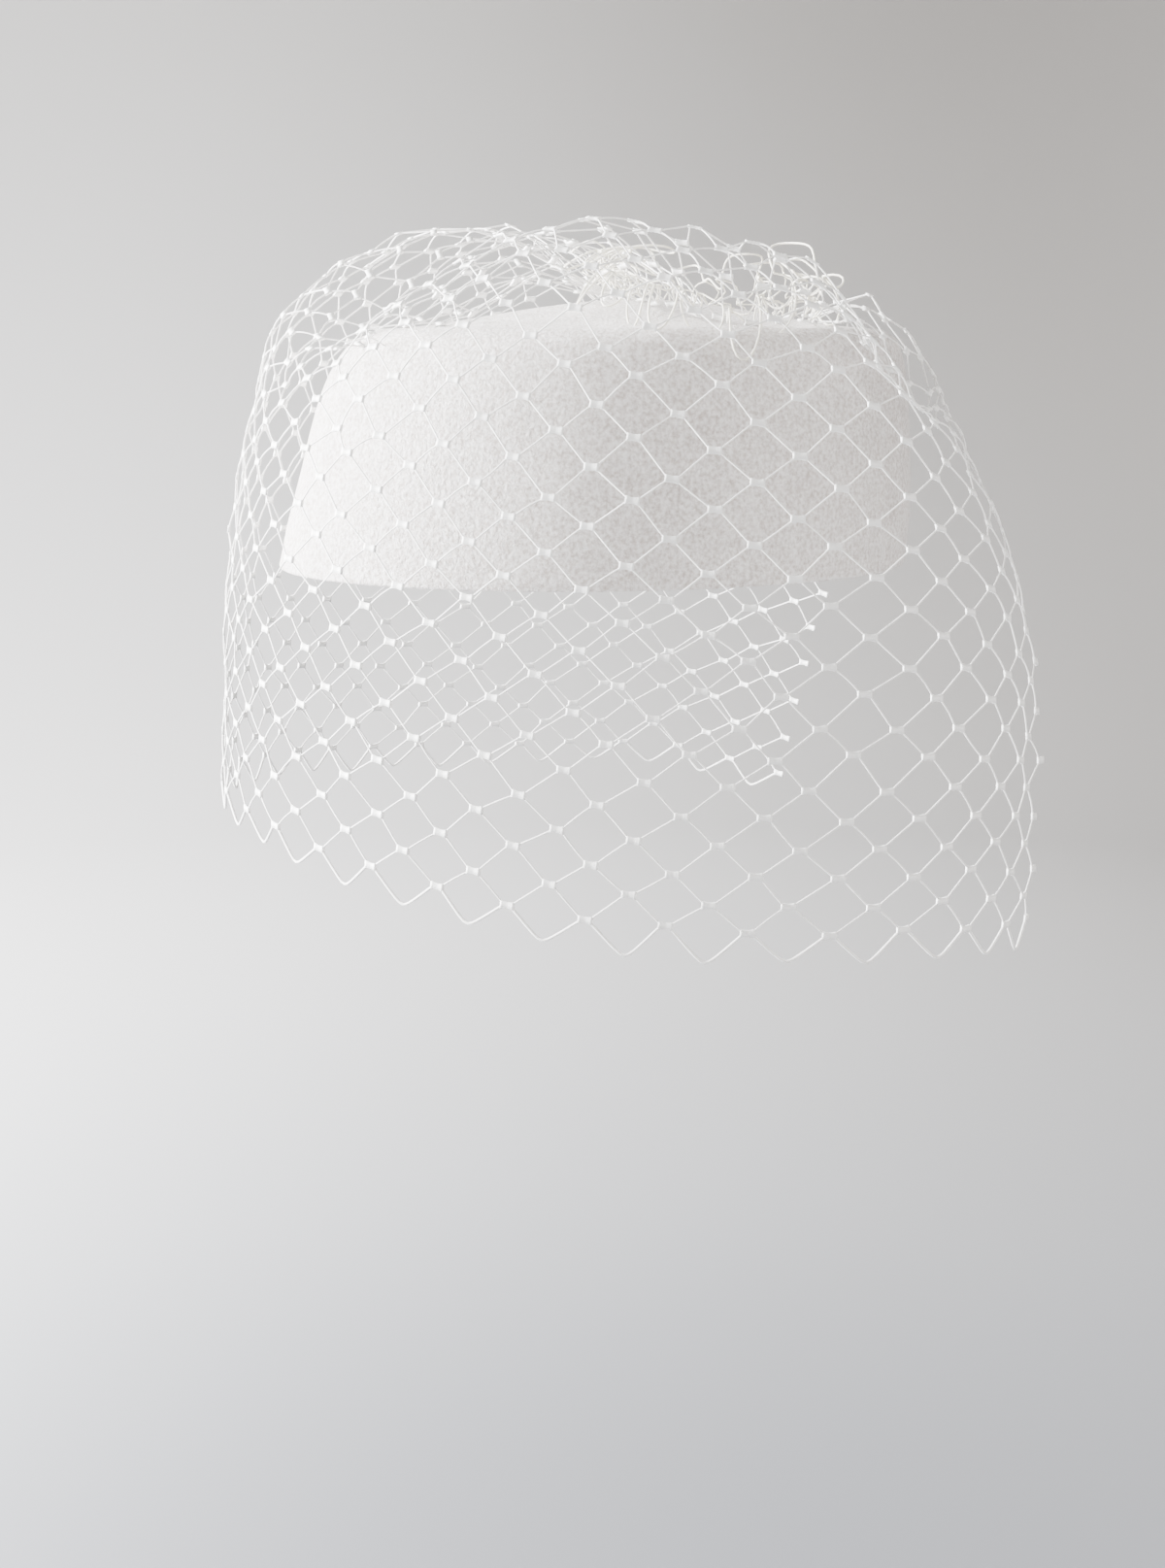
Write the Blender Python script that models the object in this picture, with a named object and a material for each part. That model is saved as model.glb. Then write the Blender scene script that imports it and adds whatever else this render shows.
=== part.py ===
"""A felt pillbox hat with a gathered net veil, worn form. Metres, Z up, the front of the hat faces -Y.

The origin is the centre of the head opening, in the plane of the crown's lower edge.
"""

import math

import bmesh
import bpy

# Felt crown, outside sizes
CROWN_LENGTH = 0.200
CROWN_WIDTH = 0.169
CROWN_HEIGHT = 0.072
TIP_RISE = 0.009
FELT_THICKNESS = 0.0025
CROWN_SEGMENTS = 48
TIP_RINGS = 9

# How far the widest part of the veil stands out from the crown's lower edge
FRONT_STAND = 0.019
SIDE_STAND = 0.0625
BACK_STAND = 0.036

# How far the veil hangs below the crown's lower edge, at its sides, and puffs above the tip
HEM_DROP = 0.093
PUFF_RISE = 0.029

# The strip of netting before it is gathered, and the bars that stand for its threads
STRIP_LENGTH = 0.632
STRIP_HEIGHT = 0.262
MESHES_ALONG = 12
HALF_MESHES_UP = 11
ROW_RATIO = 1.03
BAR_WIDTH = 0.0048
NET_THICKNESS = 0.002
LATTICE_SHARE = 0.97

# The oval line on the tip that the netting is gathered to, and the band of pleats along it
GATHER_ACROSS = 0.112
GATHER_DEPTH = 0.060
GATHER_BACK = 0.036
PLEAT_BAND = 0.007
SEAT_GAP = 0.0003

# The netting passes over the crown's rounded edge on a shallow slope, out to this share past the tip
EDGE_FALL = 0.012
EDGE_SHARE = 0.4

# The ruffle of netting that stands up from the gathered line
RUFFLE_HEIGHT = 0.019
RUFFLE_LEAN = 0.001
RUFFLE_SWING = 0.005
RUFFLE_FOLDS = 15
STEPS_PER_FOLD = 8
RUFFLE_RINGS = 3

# Outline of the crown at heights given as shares of CROWN_HEIGHT. The reaches are shares of half the
# crown's length, forwards and backwards, and of half its width.
CROWN_SHARES = (
    # level, front, side, back
    (0.00, 1.000, 1.000, 0.985),
    (0.20, 0.965, 0.985, 0.998),
    (0.40, 0.925, 0.962, 1.000),
    (0.60, 0.885, 0.932, 0.995),
    (0.78, 0.840, 0.900, 0.985),
    (0.90, 0.790, 0.868, 0.968),
    (0.97, 0.735, 0.835, 0.945),
    (1.00, 0.670, 0.790, 0.905),
)

# Sections of the veil, from the hem to just outside the gathered line. "up" is the share of the strip's
# height. A reach of 1 is the crown's lower edge, and 2 is that and the whole stand of the veil. A height
# of -1 is the hem at the side, 0 the crown's lower edge, 1 the crown's upper edge and 2 the top of the
# puff. "centre" is a share of half the crown's length, and "dip" is how far the net is drawn down at the
# tucks, as a share of the rise from 1 to 2. "end" is the angle of the cut end, in degrees from the front.
VEIL_SHARES = (
    # up, front, side, back, centre, front height, side height, back height, dip, end
    (0.000, 2.00, 2.00, 1.94, 0.38, -0.80, -1.00, -1.25, 0.00, 130),
    (0.156, 1.95, 1.95, 1.98, 0.38, -0.38, -0.59, -0.83, 0.00, 133),
    (0.312, 1.76, 1.84, 1.94, 0.38, 0.07, -0.15, -0.43, 0.00, 138),
    (0.469, 1.44, 1.70, 1.64, 0.38, 0.64, 0.37, 0.04, 0.10, 147),
    (0.625, 0.96, 1.46, 1.19, 0.38, 1.22, 0.97, 0.62, 0.40, 158),
    (0.781, 0.66, 1.22, 1.01, 0.36, 1.77, 1.74, 0.94, 0.85, 168),
    (0.906, 0.32, 0.93, 0.82, 0.33, 1.90, 1.83, 1.30, 0.55, 174),
)
GATHERED_END_DEGREES = 177

# Where the net is drawn down towards the crown, between its puffs. Both angles are in degrees, and the
# first is taken from the front towards +X. The depth is a share of the section's dip.
TUCK_SHARES = (
    # angle, half width, depth
    (11, 17, 1.00),
    (95, 35, 0.45),
    (130, 25, 0.90),
    (-128, 30, 1.00),
)
SIDEWAYS_SHARE = 0.08
ARC_STEPS = 48


def clear_scene():
    for item in list(bpy.data.objects):
        bpy.data.objects.remove(item, do_unlink=True)


def finish(name, color, roughness):
    """A plain material for one sub-part."""
    made = bpy.data.materials.new(name)
    made.use_nodes = True
    shader = made.node_tree.nodes["Principled BSDF"]
    shader.inputs["Base Color"].default_value = (*color, 1.0)
    shader.inputs["Roughness"].default_value = roughness
    shader.inputs["Metallic"].default_value = 0.0
    return made


def object_from(name, mesh_builder, material, wall, offset):
    """An object made from a bmesh sheet, given its thickness by a Solidify modifier."""
    mesh = bpy.data.meshes.new(name)
    mesh_builder.to_mesh(mesh)
    mesh_builder.free()
    mesh.materials.append(material)
    mesh.shade_smooth()
    made = bpy.data.objects.new(name, mesh)
    bpy.context.scene.collection.objects.link(made)
    thick = made.modifiers.new("Thickness", "SOLIDIFY")
    thick.thickness = wall
    thick.offset = offset
    return made


def smooth_row(table, place):
    """The row of a table at any place along its first column, on a smooth curve through its rows."""
    places = [row[0] for row in table]
    last = len(table) - 1
    first = 0
    while first < last - 1 and place > places[first + 1]:
        first += 1
    step = places[first + 1] - places[first]
    t = (place - places[first]) / step

    def slope(i, column):
        low, high = max(i - 1, 0), min(i + 1, last)
        return (table[high][column] - table[low][column]) / (places[high] - places[low])

    found = [place]
    for column in range(1, len(table[0])):
        start, end = table[first][column], table[first + 1][column]
        found.append(
            (2 * t**3 - 3 * t**2 + 1) * start
            + (t**3 - 2 * t**2 + t) * step * slope(first, column)
            + (3 * t**2 - 2 * t**3) * end
            + (t**3 - t**2) * step * slope(first + 1, column)
        )
    return found


def crown_oval(front, side, back):
    """Half length, half width and centre, along Y, of the crown's outline for three reaches."""
    half = CROWN_LENGTH / 2
    return half * (front + back) / 2, CROWN_WIDTH / 2 * side, half * (back - front) / 2


def oval_ring(half_length, half_width, centre, height):
    """One ring of points round the crown, from the front towards +X."""
    turns = [2 * math.pi * i / CROWN_SEGMENTS for i in range(CROWN_SEGMENTS)]
    return [(half_width * math.sin(a), centre - half_length * math.cos(a), height) for a in turns]


def tip_spread(x, y):
    """0 over the middle of the tip, and 1 over its outline."""
    half_length, half_width, centre = crown_oval(*CROWN_SHARES[-1][1:])
    return (x / half_width) ** 2 + ((y - centre) / half_length) ** 2


def tip_height(x, y):
    """Height of the crown's outer surface over a point of its tip: a low dome with a flat margin."""
    return CROWN_HEIGHT + TIP_RISE * max(1 - tip_spread(x, y), 0) ** 2


def build_crown():
    """One blocked felt cap: upright wall, rounded upper edge and low domed tip, open below."""
    sheet = bmesh.new()
    rings = []
    for level, front, side, back in CROWN_SHARES:
        rings.append(oval_ring(*crown_oval(front, side, back), CROWN_HEIGHT * level))
    half_length, half_width, centre = crown_oval(*CROWN_SHARES[-1][1:])
    for i in range(1, TIP_RINGS):
        share = 1 - i / TIP_RINGS
        ring = oval_ring(half_length * share, half_width * share, centre, 0)
        rings.append([(x, y, tip_height(x, y)) for x, y, _ in ring])
    made = [[sheet.verts.new(point) for point in ring] for ring in rings]
    for lower, upper in zip(made, made[1:]):
        for i in range(CROWN_SEGMENTS):
            j = (i + 1) % CROWN_SEGMENTS
            sheet.faces.new((lower[i], lower[j], upper[j], upper[i]))
    peak = sheet.verts.new((0, centre, tip_height(0, centre)))
    for i in range(CROWN_SEGMENTS):
        sheet.faces.new((made[-1][i], made[-1][(i + 1) % CROWN_SEGMENTS], peak))
    felt = finish("felt", (0.86, 0.86, 0.87), 0.95)
    return object_from("crown", sheet, felt, FELT_THICKNESS, -1)


def reach(share, half, stand):
    """Distance from the crown's middle: shares up to 1 lie over the crown, and those past 1 beyond it."""
    return half * min(share, 1) + stand * max(share - 1, 0)


def height_of(level):
    """Height for a level of the veil's table."""
    below = HEM_DROP * min(level, 0)
    beside = CROWN_HEIGHT * min(max(level, 0), 1)
    above = (TIP_RISE + PUFF_RISE) * max(level - 1, 0)
    return below + beside + above


def seat_height(x, y):
    """Height of the middle of the netting where it lies on the tip."""
    return tip_height(x, y) + SEAT_GAP + NET_THICKNESS / 2


def gathered_section(up, inwards):
    """The section at the gathered line, or at a distance inside it."""
    front = GATHER_BACK - GATHER_DEPTH / 2 + inwards
    back = GATHER_BACK + GATHER_DEPTH / 2 - inwards
    side = GATHER_ACROSS / 2 - inwards
    heights = (seat_height(0, front), seat_height(side, GATHER_BACK), seat_height(0, back))
    return (up, front, side, back, GATHER_BACK, *heights, 0, GATHERED_END_DEGREES)


def veil_sections():
    """The veil's table in metres, with the rows of the gathered line added."""
    rows = []
    for up, front, side, back, centre, z_front, z_side, z_back, dip, end in VEIL_SHARES:
        rows.append(
            (
                up,
                -reach(front, CROWN_LENGTH / 2, FRONT_STAND),
                reach(side, CROWN_WIDTH / 2, SIDE_STAND),
                reach(back, CROWN_LENGTH / 2, BACK_STAND),
                centre * CROWN_LENGTH / 2,
                height_of(z_front),
                height_of(z_side),
                height_of(z_back),
                dip * (TIP_RISE + PUFF_RISE),
                end,
            )
        )
    rows.append(gathered_section(1, 0))
    rows.append(gathered_section(1 + PLEAT_BAND / STRIP_HEIGHT, PLEAT_BAND))
    return rows


def section_point(section, angle):
    """A point of one section, at an angle from the front towards +X."""
    _, front, side, back, centre, z_front, z_side, z_back, dip, _ = section
    forward = math.cos(angle)
    away = [(math.degrees(angle) - at) / half_width for at, half_width, _ in TUCK_SHARES]
    drawn = sum(depth * math.exp(-(far**2)) for far, (_, _, depth) in zip(away, TUCK_SHARES))
    pull = 1 - SIDEWAYS_SHARE * drawn * dip / (TIP_RISE + PUFF_RISE)
    x = side * pull * math.sin(angle)
    y = centre - pull * forward * (centre - front if forward > 0 else back - centre)
    z_end = z_front if forward > 0 else z_back
    z = z_side + (z_end - z_side) * forward**2 - dip * drawn
    past = max(tip_spread(x, y) - 1, 0)
    if past < EDGE_SHARE:
        z = max(z, seat_height(x, y) - EDGE_FALL * past)
    return x, y, z


def section_angle(section, share):
    """The angle at a share of a section's length, from 0 at the front to 1 or -1 at its cut ends."""
    end = math.copysign(math.radians(section[-1]), share)
    turns = [end * i / ARC_STEPS for i in range(ARC_STEPS + 1)]
    points = [section_point(section, turn) for turn in turns]
    lengths = [0.0]
    for point, further in zip(points, points[1:]):
        lengths.append(lengths[-1] + math.dist(point, further))
    wanted = abs(share) * lengths[-1]
    i = min(sum(length < wanted for length in lengths[1:]), ARC_STEPS - 1)
    part = (wanted - lengths[i]) / (lengths[i + 1] - lengths[i])
    return turns[i] + part * (turns[i + 1] - turns[i])


def draped(table, along, up):
    """The place in the worn veil of a point of the flat strip, in metres along it and up from its hem."""
    section = smooth_row(table, up / STRIP_HEIGHT)
    return section_point(section, section_angle(section, 2 * along / STRIP_LENGTH - 1))


def flat_lattice():
    """The strip of netting laid flat: diamonds cut through, closed along the top by the pleated band."""
    sheet = bmesh.new()
    mesh_width = STRIP_LENGTH / MESHES_ALONG
    growth = [ROW_RATIO**row for row in range(HALF_MESHES_UP)]
    row_height = STRIP_HEIGHT * LATTICE_SHARE / sum(growth)
    knots = {}
    for row in range(HALF_MESHES_UP + 1):
        shift = 0.5 if row % 2 == 0 else 0.0
        height = row_height * sum(growth[:row])
        for column in range(MESHES_ALONG + (row % 2)):
            place = column + shift
            knots[place, row] = sheet.verts.new((place * mesh_width, height, 0))
    gaps = []
    for (place, row), knot in knots.items():
        right, above = knots.get((place + 1, row)), knots.get((place + 0.5, row + 1))
        below = knots.get((place + 0.5, row - 1))
        if right and above and below:
            gaps.append(sheet.faces.new((knot, below, right, above)))
        elif right and below:
            gaps.append(sheet.faces.new((knot, below, right)))
    sheet.normal_update()
    bmesh.ops.inset_individual(sheet, faces=gaps, thickness=BAR_WIDTH / 2, use_even_offset=True)
    bmesh.ops.delete(sheet, geom=gaps, context="FACES")
    band_top = STRIP_HEIGHT + PLEAT_BAND
    lower = [knots[place, HALF_MESHES_UP] for place in range(MESHES_ALONG + 1)]
    for height in (STRIP_HEIGHT, band_top):
        upper = [sheet.verts.new((knot.co.x, height, 0)) for knot in lower]
        for i in range(MESHES_ALONG):
            sheet.faces.new((lower[i], lower[i + 1], upper[i + 1], upper[i]))
        lower = upper
    long_edges = [edge for edge in sheet.edges if edge.calc_length() > mesh_width / 3]
    bmesh.ops.subdivide_edges(sheet, edges=long_edges, cuts=1)
    return sheet


def build_veil():
    """The net skirt, open at the back, with the pleated band that rests on the tip."""
    sheet = flat_lattice()
    table = veil_sections()
    for vertex in sheet.verts:
        vertex.co = draped(table, vertex.co.x, vertex.co.y)
    net = finish("net", (0.93, 0.92, 0.88), 0.6)
    return object_from("veil", sheet, net, NET_THICKNESS, 0)


def build_ruffle():
    """The upper edge of the netting, standing up in folds round the gathered line."""
    sheet = bmesh.new()
    base = gathered_section(1, PLEAT_BAND / 2)
    steps = RUFFLE_FOLDS * STEPS_PER_FOLD
    angles = [section_angle(base, 2 * i / steps - 1) for i in range(steps + 1)]
    lift = NET_THICKNESS / 2 + SEAT_GAP
    rows = []
    for ring in range(RUFFLE_RINGS + 1):
        share = ring / RUFFLE_RINGS
        row = []
        for i, angle in enumerate(angles):
            x, y, z = section_point(base, angle)
            fold = math.sin(2 * math.pi * i / STEPS_PER_FOLD)
            out = share * (RUFFLE_LEAN + RUFFLE_SWING * fold)
            place = (x + out * math.sin(angle), y - out * math.cos(angle))
            row.append(sheet.verts.new((*place, z + lift + share * RUFFLE_HEIGHT)))
        rows.append(row)
    for lower, upper in zip(rows, rows[1:]):
        for i in range(steps):
            sheet.faces.new((lower[i], lower[i + 1], upper[i + 1], upper[i]))
    net = finish("ruffle_net", (0.92, 0.90, 0.84), 0.6)
    return object_from("ruffle", sheet, net, NET_THICKNESS, 0)


clear_scene()
build_crown()
build_veil()
build_ruffle()
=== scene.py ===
"""The look of a white felt pillbox hat with a gathered birdcage veil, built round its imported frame."""

import math

import bmesh
import bpy
import numpy as np
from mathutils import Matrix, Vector, noise


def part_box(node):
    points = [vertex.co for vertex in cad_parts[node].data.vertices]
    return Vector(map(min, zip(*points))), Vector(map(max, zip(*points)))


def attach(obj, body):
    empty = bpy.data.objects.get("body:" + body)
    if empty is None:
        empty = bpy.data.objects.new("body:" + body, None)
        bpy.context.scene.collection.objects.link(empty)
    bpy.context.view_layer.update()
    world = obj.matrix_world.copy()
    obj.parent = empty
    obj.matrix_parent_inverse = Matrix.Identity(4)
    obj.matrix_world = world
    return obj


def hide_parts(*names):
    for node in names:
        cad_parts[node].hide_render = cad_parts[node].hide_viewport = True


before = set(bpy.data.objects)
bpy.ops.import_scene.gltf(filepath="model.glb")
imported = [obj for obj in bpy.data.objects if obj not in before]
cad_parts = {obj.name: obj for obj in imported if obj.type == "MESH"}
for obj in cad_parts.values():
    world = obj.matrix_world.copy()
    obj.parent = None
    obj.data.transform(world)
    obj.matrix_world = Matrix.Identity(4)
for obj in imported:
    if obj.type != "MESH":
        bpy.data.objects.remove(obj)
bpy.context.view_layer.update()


# The crown
# One piece of white wool felt, steamed and drawn over a block, so its wall and tip are one skin of even
# thickness. The lower edge is cut plain, and the upper edge is pressed to a small round.
felt_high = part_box("crown")[1]
HALF_LENGTH = felt_high[1]
HALF_WIDTH = felt_high[0]
WALL_HEIGHT = 0.072
TIP_RISE = felt_high[2] - WALL_HEIGHT
FELT_THICKNESS = 0.0025
FELT_EDGE_ROUND = 0.0006
ROUND_THE_CROWN = 200
WALL_RINGS = 26
TIP_RINGS = 24
DENT_DEPTH = 0.0005
DENT_SIZE = 0.030
NAP_DEPTH = 0.00012
NAP_SIZE = 0.0035
FELT_WHITE = (0.920, 0.900, 0.885, 1)
FELT_GREY = (0.545, 0.482, 0.446, 1)

CROWN_SECTIONS = (
    # level, front, side, back
    (0.00, 1.000, 1.000, 0.985),
    (0.20, 0.965, 0.985, 0.998),
    (0.40, 0.925, 0.962, 1.000),
    (0.60, 0.885, 0.932, 0.995),
    (0.78, 0.840, 0.900, 0.985),
    (0.90, 0.790, 0.868, 0.968),
    (0.97, 0.735, 0.835, 0.945),
    (1.00, 0.670, 0.790, 0.905),
)


def smooth_row(table, place):
    """The row of a table at any place along its first column, on a smooth curve through its rows."""
    rows = np.array(table, float)
    first = int(np.clip(np.searchsorted(rows[:, 0], place) - 1, 0, len(rows) - 2))
    slopes = np.gradient(rows, axis=0) / np.gradient(rows[:, 0])[:, None]
    step = rows[first + 1, 0] - rows[first, 0]
    t = (place - rows[first, 0]) / step
    start, end = rows[first], rows[first + 1]
    leave, arrive = slopes[first] * step, slopes[first + 1] * step
    found = (2 * t**3 - 3 * t**2 + 1) * start + (t**3 - 2 * t**2 + t) * leave
    return found + (3 * t**2 - 2 * t**3) * end + (t**3 - t**2) * arrive


def crown_oval(level):
    """Half length, half width and centre, along Y, of the crown's outline at a share of its wall."""
    _, front, side, back = smooth_row(CROWN_SECTIONS, level)
    return HALF_LENGTH * (front + back) / 2, HALF_WIDTH * side, HALF_LENGTH * (back - front) / 2


TIP_HALF_LENGTH, TIP_HALF_WIDTH, TIP_CENTRE = crown_oval(1.0)


def tip_spread(x, y):
    """0 over the middle of the tip, and 1 over its outline."""
    return (x / TIP_HALF_WIDTH) ** 2 + ((y - TIP_CENTRE) / TIP_HALF_LENGTH) ** 2


def tip_height(x, y):
    """Height of the felt over a point of the tip."""
    return WALL_HEIGHT + TIP_RISE * np.maximum(1 - tip_spread(x, y), 0) ** 2


def drawn_out(work, edges):
    """A new ring of points and edges, extruded from the last one."""
    grown = bmesh.ops.extrude_edge_only(work, edges=edges)["geom"]
    points = [item for item in grown if isinstance(item, bmesh.types.BMVert)]
    return points, [item for item in grown if isinstance(item, bmesh.types.BMEdge)]


def piece_from(name, work, *materials):
    """A finished piece at the origin, shaded smooth, riding on the hat."""
    mesh = bpy.data.meshes.new(name)
    work.to_mesh(mesh)
    work.free()
    mesh.shade_smooth()
    for material in materials:
        mesh.materials.append(material)
    piece = bpy.data.objects.new(name, mesh)
    bpy.context.scene.collection.objects.link(piece)
    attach(piece, "root")
    return piece


def new_material(name):
    """An empty node material: its nodes, its links and its shader."""
    material = bpy.data.materials.new(name)
    material.use_nodes = True
    return material, material.node_tree.nodes, material.node_tree.links


def speckle(nodes, links, size, detail, coords):
    """Noise of a given grain size in metres, on the piece's own coordinates."""
    grain = nodes.new("ShaderNodeTexNoise")
    grain.inputs["Scale"].default_value = 1 / size
    grain.inputs["Detail"].default_value = detail
    grain.inputs["Roughness"].default_value = 0.62
    links.new(coords, grain.inputs["Vector"])
    return grain.outputs["Fac"]


def between(nodes, links, source, low, high, low_color, high_color):
    """A colour that runs from one to the other while the source runs from low to high."""
    ramp = nodes.new("ShaderNodeValToRGB")
    ramp.color_ramp.elements[0].position = low
    ramp.color_ramp.elements[1].position = high
    ramp.color_ramp.elements[0].color = low_color
    ramp.color_ramp.elements[1].color = high_color
    links.new(source, ramp.inputs["Fac"])
    return ramp.outputs["Color"]


def multiplied(nodes, links, color, tint):
    """One colour multiplied by another."""
    both = nodes.new("ShaderNodeMix")
    both.data_type = "RGBA"
    both.blend_type = "MULTIPLY"
    both.inputs["Factor"].default_value = 1.0
    links.new(color, both.inputs["A"])
    links.new(tint, both.inputs["B"])
    return both.outputs["Result"]


def felt_material():
    """Pressed wool: matt, with fine grey mottling between the fibres and a soft nap."""
    material, nodes, links = new_material("white_felt")
    shader = nodes["Principled BSDF"]
    coords = nodes.new("ShaderNodeTexCoord").outputs["Object"]
    fibres = speckle(nodes, links, 0.0012, 6, coords)
    clumps = speckle(nodes, links, 0.0060, 3, coords)
    fine = between(nodes, links, fibres, 0.34, 0.60, FELT_GREY, FELT_WHITE)
    broad = between(nodes, links, clumps, 0.30, 0.70, (0.90, 0.89, 0.89, 1), (1, 1, 1, 1))
    links.new(multiplied(nodes, links, fine, broad), shader.inputs["Base Color"])
    shader.inputs["Roughness"].default_value = 0.96
    shader.inputs["Specular IOR Level"].default_value = 0.25
    shader.inputs["Sheen Weight"].default_value = 0.35
    shader.inputs["Sheen Roughness"].default_value = 0.5
    nap = nodes.new("ShaderNodeBump")
    nap.inputs["Strength"].default_value = 1.0
    nap.inputs["Distance"].default_value = 0.0011
    links.new(speckle(nodes, links, 0.0014, 6, coords), nap.inputs["Height"])
    links.new(nap.outputs["Normal"], shader.inputs["Normal"])
    return material


shell = bmesh.new()
bmesh.ops.create_circle(shell, segments=ROUND_THE_CROWN, radius=1.0)
edges = shell.edges[:]
for ring in range(WALL_RINGS):
    points, edges = drawn_out(shell, edges)
    bmesh.ops.translate(shell, vec=(0, 0, 1 / WALL_RINGS), verts=points)
for ring in range(TIP_RINGS):
    points, edges = drawn_out(shell, edges)
    shrink = 1 - 1 / (TIP_RINGS - ring)
    if shrink > 0:
        bmesh.ops.scale(shell, vec=(shrink, shrink, 1), verts=points)
    bmesh.ops.translate(shell, vec=(0, 0, 1 / TIP_RINGS), verts=points)
bmesh.ops.pointmerge(shell, verts=points, merge_co=(0, 0, 2))
for point in shell.verts:
    half_length, half_width, centre = crown_oval(min(point.co.z, 1))
    height = WALL_HEIGHT * point.co.z
    x, y = half_width * point.co.x, centre + half_length * point.co.y
    point.co = (x, y, height if point.co.z < 1 else tip_height(x, y))
bmesh.ops.recalc_face_normals(shell, faces=shell.faces)
shell.normal_update()
for point in shell.verts:
    dent = DENT_DEPTH * noise.noise(point.co / DENT_SIZE)
    nap = NAP_DEPTH * noise.noise(point.co / NAP_SIZE)
    point.co += point.normal * (dent + nap)
crown = piece_from("felt_crown", shell, felt_material())
skin = crown.modifiers.new("Felt", "SOLIDIFY")
skin.thickness = FELT_THICKNESS
skin.offset = -1
edge = crown.modifiers.new("Cut edge", "BEVEL")
edge.width = FELT_EDGE_ROUND
edge.segments = 2
edge.limit_method = "ANGLE"
edge.angle_limit = math.radians(50)
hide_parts("crown")


# The netting
# One strip of stiff white veiling: threads that cross in diamonds, wound together in a flat bar at every
# crossing, with a rounded selvedge. It is gathered along one line on the tip and puffs out over the edge.
MESHES_ALONG = 29
MESH_WIDTH = 0.632 / MESHES_ALONG
HALF_MESH = 0.0082
LEG = math.hypot(MESH_WIDTH / 2, HALF_MESH)

# The drape, in the sizes and shares that the frame is made to
FRONT_STAND = 0.019
SIDE_STAND = 0.0625
BACK_STAND = 0.036
HEM_DROP = 0.093
PUFF = TIP_RISE + 0.029
DRAPE_HEIGHT = 0.262
GATHER_ACROSS = 0.112
GATHER_DEPTH = 0.060
GATHER_BACK = 0.036
SEAT_GAP = 0.0013
VEIL_SECTIONS = (
    # up, front, side, back, centre, front height, side height, back height, dip, end
    (0.000, 2.00, 2.00, 1.94, 0.38, -0.80, -1.00, -1.25, 0.00, 130),
    (0.156, 1.95, 1.95, 1.98, 0.38, -0.38, -0.59, -0.83, 0.00, 133),
    (0.312, 1.76, 1.84, 1.94, 0.38, 0.07, -0.15, -0.43, 0.00, 138),
    (0.469, 1.44, 1.70, 1.64, 0.38, 0.64, 0.37, 0.04, 0.10, 147),
    (0.625, 0.96, 1.46, 1.19, 0.38, 1.22, 0.97, 0.62, 0.40, 158),
    (0.781, 0.66, 1.22, 1.01, 0.36, 1.77, 1.74, 0.94, 0.85, 168),
    (0.906, 0.32, 0.93, 0.82, 0.33, 1.90, 1.83, 1.30, 0.55, 174),
)
GATHERED_END = 177
TUCKS = (
    # degrees from the front towards +X, half width in degrees, share of the dip
    (11, 17, 1.00),
    (95, 35, 0.45),
    (130, 25, 0.90),
    (-128, 30, 1.00),
)
SIDEWAYS_PULL = 0.08

# Beside the crown the columns of the strip are swept forward, by a share of its half length
FORWARD_SWEEP = 0.07
SWEEP_FROM = 0.30
SWEEP_TO = 0.85

# How the net settles: rounds of pulling each thread to its length, and how firmly it keeps its drape.
# The hem's values give way to the crest's over a span of the rows, from a share of them on.
SETTLE_ROUNDS = 240
SETTLE_STEP = 0.9
THREAD_PUSH = 0.25
STIFFNESS = 0.35
HEM_HOLD = 0.10
CREST_HOLD = 0.045
CREST_FROM = 0.45
CREST_SPAN = 0.5
HEM_STRAY = 0.0005
CREST_STRAY = 0.0010
SEWN_STRAY_SHARE = 0.35
CLEAR_OF_FELT = 0.0010

# Above the gathered line the strip stands in folds, and the loops of its selvedge curl over
FOLDS = 14
FOLD_WANDER = 0.8
WANDER_RATE = 0.7
RUFFLE_INSET = 0.002
RUFFLE_SHAPE = (
    # outwards, swing of the folds, rise, then outwards and down where it spills
    (0.001, 0.002, 0.0055, 0.007, 0.003),
    (0.001, 0.005, 0.0105, 0.021, 0.010),
    (0.001, 0.007, 0.0120, 0.037, 0.024),
)
TOP_ROW_ABOVE = len(RUFFLE_SHAPE)
SPILLS = (
    # degrees from the front towards +X, half width in degrees, share
    (64, 28, 1.00),
    (180, 42, -0.20),
)


def reach(share, half, stand):
    """Distance from the crown's middle: shares up to 1 lie over the crown, and those past 1 beyond it."""
    return half * min(share, 1) + stand * max(share - 1, 0)


def height_of(level):
    """Height for a level of the drape's table."""
    return HEM_DROP * min(level, 0) + WALL_HEIGHT * min(max(level, 0), 1) + PUFF * max(level - 1, 0)


def gathered_section(up, inwards):
    """The drape at the gathered line, or at a distance inside it."""
    front = GATHER_BACK - GATHER_DEPTH / 2 + inwards
    back = GATHER_BACK + GATHER_DEPTH / 2 - inwards
    side = GATHER_ACROSS / 2 - inwards
    heights = [tip_height(*spot) + SEAT_GAP for spot in ((0, front), (side, GATHER_BACK), (0, back))]
    return (up, front, side, back, GATHER_BACK, *heights, 0, GATHERED_END)


drape = []
for up, front, side, back, centre, z_front, z_side, z_back, dip, end in VEIL_SECTIONS:
    drape.append((
        up,
        -reach(front, HALF_LENGTH, FRONT_STAND),
        reach(side, HALF_WIDTH, SIDE_STAND),
        reach(back, HALF_LENGTH, BACK_STAND),
        centre * HALF_LENGTH,
        height_of(z_front),
        height_of(z_side),
        height_of(z_back),
        dip * PUFF,
        end,
    ))
drape.append(gathered_section(1, 0))


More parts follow.
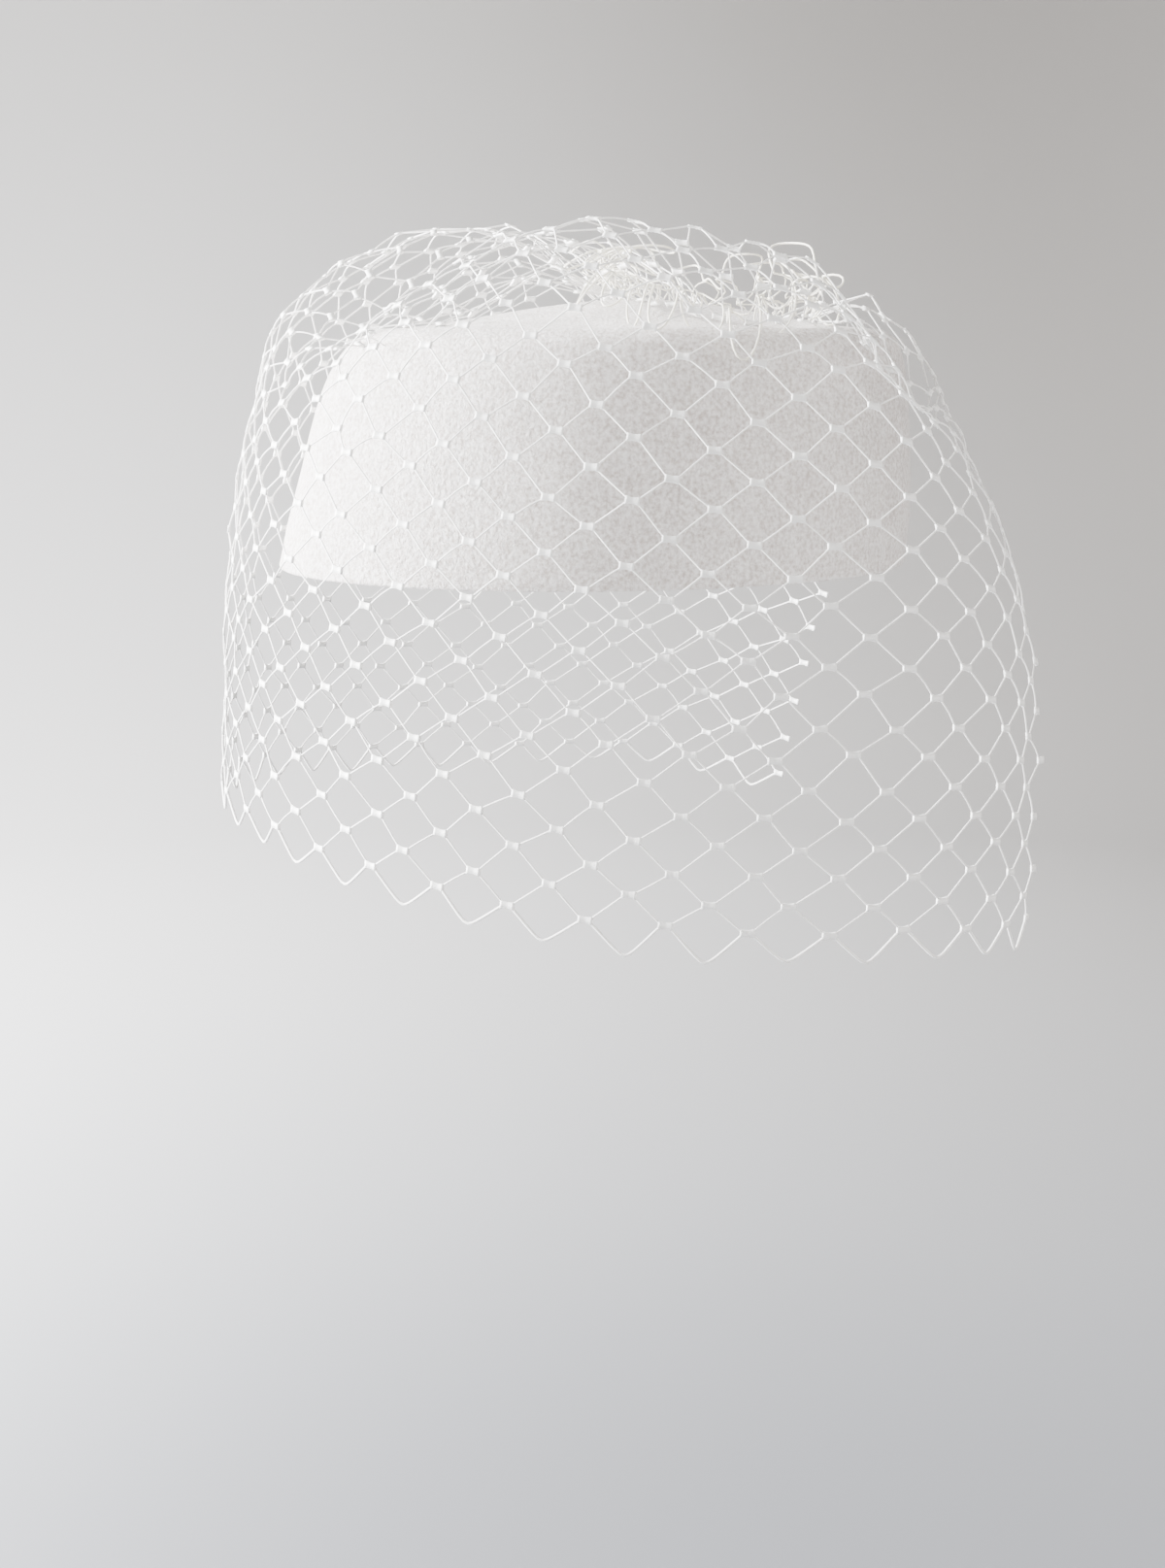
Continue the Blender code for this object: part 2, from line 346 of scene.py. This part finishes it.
def section_line(section, angles):
    """Points of one section of the drape, at angles from the front towards +X."""
    _, front, side, back, centre, z_front, z_side, z_back, dip, _ = section
    forward = np.cos(angles)
    away = [(np.degrees(angles) - at) / half_width for at, half_width, _ in TUCKS]
    drawn = sum(depth * np.exp(-(far**2)) for far, (_, _, depth) in zip(away, TUCKS))
    pull = 1 - SIDEWAYS_PULL * drawn * dip / PUFF
    x = side * pull * np.sin(angles)
    y = centre - pull * forward * np.where(forward > 0, centre - front, back - centre)
    z = z_side + (np.where(forward > 0, z_front, z_back) - z_side) * forward**2 - dip * drawn
    z = np.where(tip_spread(x, y) < 1, np.maximum(z, tip_height(x, y) + SEAT_GAP), z)
    return np.stack([x, y, z], axis=1)


def spaced_along(section, columns):
    """Points of a section where the columns of the strip fall, evenly by length on each side."""
    found = np.zeros((len(columns), 3))
    width = 0
    swept = FORWARD_SWEEP * np.clip((section[0] - SWEEP_FROM) / (SWEEP_TO - SWEEP_FROM), 0, 1)
    for way in (1, -1):
        turns = way * np.linspace(0, math.radians(section[-1]), 200)
        line = section_line(section, turns)
        run = np.concatenate([[0], np.cumsum(np.linalg.norm(np.diff(line, axis=0), axis=1))])
        here = columns * way >= 0
        shares = np.abs(columns[here]) / MESHES_ALONG
        shares = shares - swept * np.sin(math.pi * shares)
        found[here] = section_line(section, np.interp(shares * run[-1], run, turns))
        width += run[-1] / MESHES_ALONG
    return found, width


# Rows of crossings stand as far apart as the width left to each diamond lets them
rows_up = [0.0]
while rows_up[-1] < 1:
    width = spaced_along(smooth_row(drape, min(rows_up[-1], 1)), np.array([0]))[1]
    rows_up.append(rows_up[-1] + math.sqrt(LEG**2 - (width / 2) ** 2) / DRAPE_HEIGHT)
GATHER_ROW = len(rows_up) - 1
rows_up = np.array(rows_up) / rows_up[-1]

crossings = {}
for row in range(GATHER_ROW + TOP_ROW_ABOVE + 1):
    for column in range(-MESHES_ALONG, MESHES_ALONG + 1):
        if (row + column) % 2 == 0:
            crossings[row, column] = len(crossings)
row_of, column_of = np.array(list(crossings)).T
aim = np.zeros((len(crossings), 3))
base = gathered_section(1, RUFFLE_INSET)
for row in range(GATHER_ROW + TOP_ROW_ABOVE + 1):
    here = row_of == row
    if row <= GATHER_ROW:
        aim[here] = spaced_along(smooth_row(drape, rows_up[row]), column_of[here])[0]
        continue
    out, swing, rise, spill_out, spill_down = RUFFLE_SHAPE[row - GATHER_ROW - 1]
    columns = column_of[here]
    line = spaced_along(base, columns)[0]
    outward = line[:, :2] - np.array([0, GATHER_BACK])
    outward /= np.linalg.norm(outward, axis=1)[:, None]
    wander = FOLD_WANDER * np.sin(WANDER_RATE * columns)
    fold = np.sin(math.pi * FOLDS * columns / MESHES_ALONG + wander)
    bearing = np.degrees(np.arctan2(outward[:, 0], -outward[:, 1]))
    away = [((bearing - at + 180) % 360 - 180) / half_width for at, half_width, _ in SPILLS]
    spill = sum(share * np.exp(-(far**2)) for far, (_, _, share) in zip(away, SPILLS))
    line[:, :2] += outward * (out + swing * fold + spill_out * spill)[:, None]
    line[:, 2] += rise - spill_down * spill
    aim[here] = line

chance = np.random.default_rng(7)
crest = np.clip((row_of / GATHER_ROW - CREST_FROM) / CREST_SPAN, 0, 1)
stray = chance.normal(size=aim.shape) * (HEM_STRAY + (CREST_STRAY - HEM_STRAY) * crest)[:, None]
sewn = row_of == GATHER_ROW
stray[sewn] *= SEWN_STRAY_SHARE
aim += stray
legs = []
for (row, column), start in crossings.items():
    for side in (-1, 1):
        if (row + 1, column + side) in crossings:
            legs.append((start, crossings[row + 1, column + side], side))
legs = np.array(legs)
hold = (HEM_HOLD + (CREST_HOLD - HEM_HOLD) * crest)[:, None]
place = aim.copy()
meeting = np.bincount(legs[:, :2].ravel(), minlength=len(place))[:, None]
for _ in range(SETTLE_ROUNDS):
    span = place[legs[:, 1]] - place[legs[:, 0]]
    length = np.linalg.norm(span, axis=1)
    wrong = (length - LEG) / length
    move = span * (wrong * np.where(wrong > 0, 1.0, THREAD_PUSH))[:, None]
    shift = np.zeros_like(place)
    np.add.at(shift, legs[:, 0], move)
    np.add.at(shift, legs[:, 1], -move)
    place += SETTLE_STEP * shift / meeting + hold * (aim - place)
    astray = place - aim
    shared = np.zeros_like(place)
    np.add.at(shared, legs[:, 0], astray[legs[:, 1]])
    np.add.at(shared, legs[:, 1], astray[legs[:, 0]])
    place = aim + (1 - STIFFNESS) * astray + STIFFNESS * shared / meeting
    place[sewn] = aim[sewn]
    over = tip_spread(place[:, 0], place[:, 1]) < 1
    resting = tip_height(place[:, 0], place[:, 1]) + CLEAR_OF_FELT
    beside = (place[:, 2] > WALL_HEIGHT / 2) & over
    place[:, 2] = np.where(beside, np.maximum(place[:, 2], resting), place[:, 2])

# The thread, and the bar at a crossing, with the shares of it where the threads run out of its corners
THREAD = 0.00048
SELVEDGE = 0.00085
BAR_LENGTH = 0.0039
BAR_HEIGHT = 0.0021
BAR_THICKNESS = 0.0008
BAR_WAIST = 0.22
BAR_RIBS = 7
BETWEEN_RIBS = 0.7
CORNER_ALONG = 0.40
CORNER_UP = 0.28
THREAD_SIDES = 5
THREAD_STEPS = 4
SELVEDGE_SIDES = 6
LOOP_STEPS = 14

# How the threads bow out of the net, and how the loops of the selvedge are rounded or curl over
TAUT_BOW = 0.15
FIRST_BOW = 0.001
BOW_OUTWARDS = 0.8
BOW_CHANCE = 0.35
HEM_ROUND = 0.16
LOOP_SWELL = 0.22
LOOP_SPARE = 0.8
LOOP_CURL = 0.002
LOOP_CURL_CHANCE = 0.007
LOOP_DROOP = 0.006
SLACK_ROUNDS = 16
SLACK_POINTS = 25
SLACK_STEP = 0.35


def toward(pairs):
    """For each crossing, the sum of steps to the neighbours named by row and column steps."""
    total = np.zeros_like(place)
    for (row, column), number in crossings.items():
        for up_step, side_step, sign in pairs:
            other = crossings.get((row + up_step, column + side_step))
            if other is not None:
                total[number] += sign * (place[other] - place[number])
    return total


def unit(vectors):
    return vectors / np.maximum(np.linalg.norm(vectors, axis=-1, keepdims=True), 1e-9)


sideways = toward([(1, 1, 1), (-1, 1, 1), (1, -1, -1), (-1, -1, -1)])
upwards = toward([(1, 1, 1), (1, -1, 1), (-1, 1, -1), (-1, -1, -1)])
outwards = unit(np.cross(sideways, upwards))
across = unit(sideways)
upright = np.cross(outwards, across)


def copies(name, pattern, points):
    """One mesh of many copies of a small pattern, with the points of every copy in their place."""
    mesh = bpy.data.meshes.new(name)
    pattern.to_mesh(mesh)
    piece = bpy.data.objects.new(name, mesh)
    bpy.context.scene.collection.objects.link(piece)
    repeat = piece.modifiers.new("Copies", "ARRAY")
    repeat.count = len(points)
    repeat.use_relative_offset = False
    view = bpy.context.evaluated_depsgraph_get()
    made = bpy.data.meshes.new_from_object(piece.evaluated_get(view))
    made.vertices.foreach_set("co", points.astype(np.float32).ravel())
    bpy.data.objects.remove(piece)
    bpy.data.meshes.remove(mesh)
    return made


def pattern_points(pattern):
    return np.array([point.co[:] for point in pattern.verts])


def bar_pattern():
    """The flat bar at a crossing, ribbed where the threads are wound round each other."""
    bar = bmesh.new()
    bmesh.ops.create_cube(bar, size=1.0)
    long_edges = [edge for edge in bar.edges if abs((edge.verts[0].co - edge.verts[1].co).x) > 0.5]
    bmesh.ops.subdivide_edges(bar, edges=long_edges, cuts=BAR_RIBS - 1)
    for point in bar.verts:
        rib = round((point.co.x + 0.5) * BAR_RIBS)
        low = rib % 2 == 1 and rib < BAR_RIBS
        waist = 1 - BAR_WAIST * math.cos(math.pi * point.co.x) ** 2
        thickness = BAR_THICKNESS * (BETWEEN_RIBS if low else 1.0)
        point.co = (BAR_LENGTH * point.co.x, BAR_HEIGHT * waist * point.co.y, thickness * point.co.z)
    return bar


def thread_pattern(steps, sides):
    """A thread from 0 to 1 along Z, of radius 1."""
    thread = bmesh.new()
    bmesh.ops.create_cone(
        thread, cap_ends=False, segments=sides, radius1=1, radius2=1, depth=1
    )
    bmesh.ops.translate(thread, vec=(0, 0, 0.5), verts=thread.verts)
    long_edges = [edge for edge in thread.edges if abs((edge.verts[0].co - edge.verts[1].co).z) > 0.5]
    bmesh.ops.subdivide_edges(thread, edges=long_edges, cuts=steps - 1)
    return thread


def bent(t, starts, ends, middle, turned_v=None, swell=0.0, curl=None):
    """Lines from start to end that bend out by a middle vector: bows, rounded Vs or swollen loops."""
    if turned_v is None:
        bend = np.sin(math.pi * t)
    else:
        top = math.hypot(1, turned_v)
        bend = (top - np.sqrt((2 * t - 1) ** 2 + turned_v**2)) / (top - turned_v)
    aside = t - swell * np.sin(2 * math.pi * t)
    line = starts[:, None] + (ends - starts)[:, None] * aside[None, :, None]
    line = line + middle[:, None] * bend[None, :, None]
    if curl is not None:
        line = line + curl[:, None] * (bend**2)[None, :, None]
    return line


def thread_points(pattern, thickness, *route, **shape):
    """Points of threads of a thickness, each swept along its own bent line."""
    local = pattern_points(pattern)
    t = local[:, 2]
    line = bent(t, *route, **shape)
    step = 0.01
    heading = unit(bent(t + step, *route, **shape) - bent(t - step, *route, **shape))
    starts, ends, middle = route
    helper = unit(np.cross(ends - starts, middle + np.array([1e-5, 2e-5, 3e-5])))
    side = unit(np.cross(heading, helper[:, None]))
    other = np.cross(heading, side)
    wide = local[None, :, 0, None] * side + local[None, :, 1, None] * other
    return line + wide * thickness / 2


def with_slack(length, starts, ends, middle, **shape):
    """The middle vector drawn out or in until each bent line has its thread's whole length."""
    for _ in range(SLACK_ROUNDS):
        points = bent(np.linspace(0, 1, SLACK_POINTS), starts, ends, middle, **shape)
        run = np.linalg.norm(np.diff(points, axis=1), axis=2).sum(axis=1)
        reach_now = np.linalg.norm(middle, axis=1)
        reach_next = np.maximum(reach_now + SLACK_STEP * (length - run), 1e-5)
        middle = unit(middle) * reach_next[:, None]
    return middle


def corner(number, right, upper, bar_share):
    """Where a thread runs into the bar of a crossing."""
    return (
        place[number]
        + across[number] * (right * bar_share * BAR_LENGTH * CORNER_ALONG)[:, None]
        + upright[number] * (upper * bar_share * BAR_HEIGHT * CORNER_UP)[:, None]
    )


def net_material(name, light, shade, gloss):
    """Stiff twisted thread, a little uneven in colour, with a soft shine."""
    material, nodes, links = new_material(name)
    shader = nodes["Principled BSDF"]
    coords = nodes.new("ShaderNodeTexCoord").outputs["Object"]
    uneven = speckle(nodes, links, 0.0040, 3, coords)
    links.new(between(nodes, links, uneven, 0.35, 0.65, shade, light), shader.inputs["Base Color"])
    shader.inputs["Roughness"].default_value = gloss
    shader.inputs["Specular IOR Level"].default_value = 0.5
    twist = nodes.new("ShaderNodeBump")
    twist.inputs["Strength"].default_value = 0.4
    twist.inputs["Distance"].default_value = 0.0001
    links.new(speckle(nodes, links, 0.0003, 2, coords), twist.inputs["Height"])
    links.new(twist.outputs["Normal"], shader.inputs["Normal"])
    return material


def netting(name, first, last, selvedge_row, finishes, sizes, loose):
    """The net between two rows, with its selvedge at one of them in Vs or loose loops, and its skin's area.

    The sizes are the thread, the selvedge and the share of a full bar.
    """
    thread, selvedge, bar_share = sizes
    start, end, side = legs.T
    low, high = row_of[start], row_of[end]
    shown = (low >= first) & (high <= last)
    shown &= (low != selvedge_row) & (high != selvedge_row)
    start, end, side = start[shown], end[shown], side[shown]
    starts = corner(start, side, np.ones(len(start)), bar_share)
    ends = corner(end, -side, -np.ones(len(end)), bar_share)
    full = LEG - 2 * bar_share * math.hypot(BAR_LENGTH * CORNER_ALONG, BAR_HEIGHT * CORNER_UP)
    thread_length = len(start) * full
    lean = BOW_OUTWARDS * unit(outwards[start]) + BOW_CHANCE * chance.normal(size=starts.shape)
    lean -= unit(ends - starts) * np.sum(lean * unit(ends - starts), axis=1, keepdims=True)
    bow = (1.0 if loose else TAUT_BOW) * with_slack(full, starts, ends, FIRST_BOW * unit(lean))
    pattern = thread_pattern(THREAD_STEPS, THREAD_SIDES)
    threads = copies(name + "_threads", pattern, thread_points(
        pattern, thread, starts, ends, bow))
    middle = [n for (row, column), n in crossings.items() if first < row <= last and row != selvedge_row]
    middle = np.array(middle)
    pattern_of_bar = bar_pattern()
    local = bar_share * pattern_points(pattern_of_bar)
    frames = np.stack([across[middle], upright[middle], outwards[middle]], axis=1)
    bars = copies(name + "_bars", pattern_of_bar, place[middle][:, None] + local[None] @ frames)
    beside = 1 if selvedge_row == 0 else -1
    loops = []
    for (row, column), bottom in crossings.items():
        if row == selvedge_row:
            left = crossings.get((row + beside, column - 1))
            right = crossings.get((row + beside, column + 1))
            if left is not None and right is not None:
                loops.append((left, bottom, right))
    left, bottom, right = np.array(loops).T
    ones = np.ones(len(left))
    starts = corner(left, ones, -beside * ones, bar_share)
    ends = corner(right, -ones, -beside * ones, bar_share)
    middle_of_loop = place[bottom] - (starts + ends) / 2
    loop_lengths = 2 * LEG * ones
    shape = {"turned_v": HEM_ROUND}
    if loose:
        outward = unit((starts + ends) / 2 * [1, 1, 0] - [0, GATHER_BACK, 0])
        lean = chance.normal(size=(len(left), 1))
        curl = outward * (LOOP_CURL + LOOP_CURL_CHANCE * lean) + np.array([0, 0, -LOOP_DROOP])
        shape = {"swell": LOOP_SWELL, "curl": curl}
        loop_lengths += 2 * LEG * LOOP_SPARE * chance.random(len(left)) ** 2
        middle_of_loop = with_slack(loop_lengths, starts, ends, middle_of_loop, **shape)
    pattern = thread_pattern(LOOP_STEPS, SELVEDGE_SIDES)
    hem = copies(name + "_selvedge", pattern, thread_points(
        pattern, selvedge, starts, ends, middle_of_loop, **shape))
    net = bmesh.new()
    net.from_mesh(threads)
    net.from_mesh(hem)
    plain = len(net.faces)
    net.from_mesh(bars)
    net.faces.ensure_lookup_table()
    for face in net.faces[plain:]:
        face.material_index = 1
    bmesh.ops.recalc_face_normals(net, faces=net.faces)
    laid_flat = (
        thread_length * math.pi * thread
        + loop_lengths.sum() * math.pi * selvedge
        + len(middle) * bar_share**2 * sum(face.calc_area() for face in pattern_of_bar.faces)
    )
    return piece_from(name, net, *finishes), laid_flat


white_thread = net_material("veil_thread", (0.93, 0.925, 0.91, 1), (0.86, 0.85, 0.83, 1), 0.42)
# Painted light: the bars are lighter than the thread they are wound from, for the light they catch.
bar_painted_lighter = net_material("veil_bar_painted_light", (0.96, 0.96, 0.95, 1), (0.91, 0.92, 0.90, 1), 0.50)
veil, veil_cloth = netting(
    "veil_net", 0, GATHER_ROW, 0, (white_thread, bar_painted_lighter), (THREAD, SELVEDGE, 1.0), False)
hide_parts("veil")


# The ruffle
# The strip's upper edge, left standing above the gathered line. It crumples into soft folds on the tip,
# where the many layers of thread are painted darker and ivory, as painted shade. Its threads are fluffed
# out, and its bars have come loose.
TOP_ROW = GATHER_ROW + TOP_ROW_ABOVE
FLUFFED_THREAD = 0.00053
FLUFFED_SELVEDGE = 0.00067
LOOSE_BAR_SHARE = 0.6
# Painted shade: the ruffle's thread and bars are darker and more ivory than the veil's, for the shade among
# its layers.
layer_shaded_thread = net_material("ruffle_thread_painted_shade", (0.92, 0.90, 0.82, 1), (0.85, 0.82, 0.71, 1), 0.45)
layer_shaded_bar = net_material("ruffle_bar_painted_shade", (0.87, 0.85, 0.77, 1), (0.78, 0.76, 0.65, 1), 0.55)
ruffle, ruffle_cloth = netting(
    "ruffle_net", GATHER_ROW, TOP_ROW, TOP_ROW, (layer_shaded_thread, layer_shaded_bar),
    (FLUFFED_THREAD, FLUFFED_SELVEDGE, LOOSE_BAR_SHARE), True)
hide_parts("ruffle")


# The floor and the backdrop
# A pale bowl of paper that sweeps up all round, far below and behind, so that no edge of it shows. Shade is
# painted into its colour.
FLOOR = -0.42
SWEEP_FLOOR = 1.5
SWEEP_ROUND = 1.2
SWEEP_TOP = 3.2
SWEEP_STEPS = 12
PAPER_TURNS = 96
PAPER = (0.93, 0.93, 0.935, 1)
# Painted shade on the paper: darker towards the middle of the bowl round the hat, darker towards +Y and
# darker higher up, where the light falls off.
PAINTED_PAPER_SHADE = (
    # measured along, from, to, painted shade at each of them
    ("Out", 0.1, 1.8, (0.26, 0.27, 0.29, 1), (1.0, 1.0, 1.0, 1)),
    ("Out", 0.0, 0.55, (0.74, 0.74, 0.745, 1), (1.0, 1.0, 1.0, 1)),
    ("Y", -0.8, 1.3, (1.0, 1.0, 1.0, 1), (0.30, 0.29, 0.28, 1)),
    ("Z", -0.3, 1.0, (1.0, 1.0, 1.0, 1), (0.68, 0.67, 0.65, 1)),
)

paper = bmesh.new()
profile = [paper.verts.new((0, 0, FLOOR)), paper.verts.new((SWEEP_FLOOR, 0, FLOOR))]
for step in range(1, SWEEP_STEPS + 1):
    turn = math.pi / 2 * step / SWEEP_STEPS
    out = SWEEP_FLOOR + SWEEP_ROUND * math.sin(turn)
    profile.append(paper.verts.new((out, 0, FLOOR + SWEEP_ROUND * (1 - math.cos(turn)))))
profile.append(paper.verts.new((SWEEP_FLOOR + SWEEP_ROUND, 0, SWEEP_TOP)))
line = [paper.edges.new(pair) for pair in zip(profile, profile[1:])]
bmesh.ops.spin(
    paper, geom=profile + line, cent=(0, 0, 0), axis=(0, 0, 1), angle=2 * math.pi, steps=PAPER_TURNS,
    use_merge=True,
)
bmesh.ops.remove_doubles(paper, verts=paper.verts, dist=1e-5)
bmesh.ops.recalc_face_normals(paper, faces=paper.faces)
material, nodes, links = new_material("paper_painted_shade")
shader = nodes["Principled BSDF"]
shader.inputs["Roughness"].default_value = 0.95
shader.inputs["Specular IOR Level"].default_value = 0.1
split = nodes.new("ShaderNodeSeparateXYZ")
level_part = nodes.new("ShaderNodeVectorMath")
level_part.operation = "MULTIPLY"
level_part.inputs[1].default_value = (1, 1, 0)
outward = nodes.new("ShaderNodeVectorMath")
outward.operation = "LENGTH"
coords = nodes.new("ShaderNodeTexCoord").outputs["Object"]
links.new(coords, split.inputs["Vector"])
links.new(coords, level_part.inputs[0])
links.new(level_part.outputs["Vector"], outward.inputs[0])
measures = {"Y": split.outputs["Y"], "Z": split.outputs["Z"], "Out": outward.outputs["Value"]}
plain = nodes.new("ShaderNodeRGB").outputs["Color"]
plain.default_value = PAPER
# Each row multiplies its painted shade into the paper's colour.
for measure, low, high, low_painted_shade, high_painted_shade in PAINTED_PAPER_SHADE:
    along = nodes.new("ShaderNodeMapRange")
    along.interpolation_type = "SMOOTHSTEP"
    along.inputs["From Min"].default_value = low
    along.inputs["From Max"].default_value = high
    links.new(measures[measure], along.inputs["Value"])
    shade = between(nodes, links, along.outputs["Result"], 0, 1, low_painted_shade, high_painted_shade)
    plain = multiplied(nodes, links, plain, shade)
links.new(plain, shader.inputs["Base Color"])
mesh = bpy.data.meshes.new("backdrop")
paper.to_mesh(mesh)
paper.free()
mesh.shade_smooth()
mesh.materials.append(material)
backdrop = bpy.data.objects.new("backdrop", mesh)
bpy.context.scene.collection.objects.link(backdrop)


# The light and the camera
# A broad window to the left of the camera, in front of the hat, with a dim fill from behind the hat on
# the right and a small soft light that washes the paper on the left.
def window(name, place, target, size, power, color):
    light = bpy.data.lights.new(name, "AREA")
    light.shape = "RECTANGLE"
    light.size, light.size_y = size
    light.energy = power
    light.color = color
    lamp = bpy.data.objects.new(name, light)
    lamp.location = place
    lamp.rotation_euler = (Vector(target) - Vector(place)).to_track_quat("-Z", "Y").to_euler()
    bpy.context.scene.collection.objects.link(lamp)


window("window", (-0.42, -1.15, 0.35), (0, 0, 0.02), (0.8, 1.2), 285, (1.0, 0.995, 0.99))
window("ceiling", (-0.6, 0.1, 1.9), (-0.6, 0, 0), (1.6, 1.6), 6, (0.98, 0.98, 1.0))
window("fill", (1.2, 1.5, 0.7), (0, 0, 0.02), (1.2, 1.2), 42, (1.0, 0.95, 0.92))
window("wash", (-1.1, -1.1, 1.0), (-2.5, -0.9, -0.1), (0.6, 0.6), 44, (0.99, 0.99, 1.0))

world = bpy.data.worlds.new("pale_room")
world.use_nodes = True
world.node_tree.nodes["Background"].inputs["Color"].default_value = (0.80, 0.81, 0.83, 1)
world.node_tree.nodes["Background"].inputs["Strength"].default_value = 0.23
bpy.context.scene.world = world

CAMERA_BEARING = math.radians(75.68)
CAMERA_DISTANCE = 0.6913
CAMERA_HEIGHT = 0.0696
CAMERA_TURN = math.radians(0.36)
CAMERA_PITCH = math.radians(11.59)
lens = bpy.data.cameras.new("camera")
lens.lens = 50
lens.sensor_width = 36
camera = bpy.data.objects.new("camera", lens)
camera.location = (
    CAMERA_DISTANCE * math.sin(CAMERA_BEARING),
    -CAMERA_DISTANCE * math.cos(CAMERA_BEARING),
    CAMERA_HEIGHT,
)
camera.rotation_euler = (math.pi / 2 - CAMERA_PITCH, 0, CAMERA_BEARING + CAMERA_TURN)
bpy.context.scene.collection.objects.link(camera)
bpy.context.scene.camera = camera
